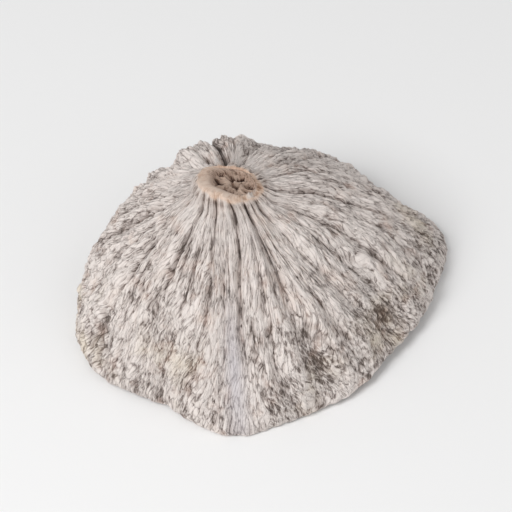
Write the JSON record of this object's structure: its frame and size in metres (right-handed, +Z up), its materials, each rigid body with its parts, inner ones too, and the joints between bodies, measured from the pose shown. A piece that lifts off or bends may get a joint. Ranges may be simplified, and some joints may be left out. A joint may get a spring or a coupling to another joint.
{
  "type": "dried lotus pod",
  "caption": "Dried, whitewashed lotus seed head lying on its rim: ribbed domed wall, short cut stem on top, and emptied round seed chambers in the face below",
  "frame": {"origin": "on the surface the pod lies on, under the middle of its outline", "axes": "+Z up through the cut stem, +X along the rim's longest width, -Y towards the side seen in the picture"},
  "size_m": [0.1034, 0.0956, 0.0507],
  "materials": {
    "husk": "matte"
  },
  "bodies": {
    "root": {"lotus_pod": "husk"}
  },
  "joints": []
}
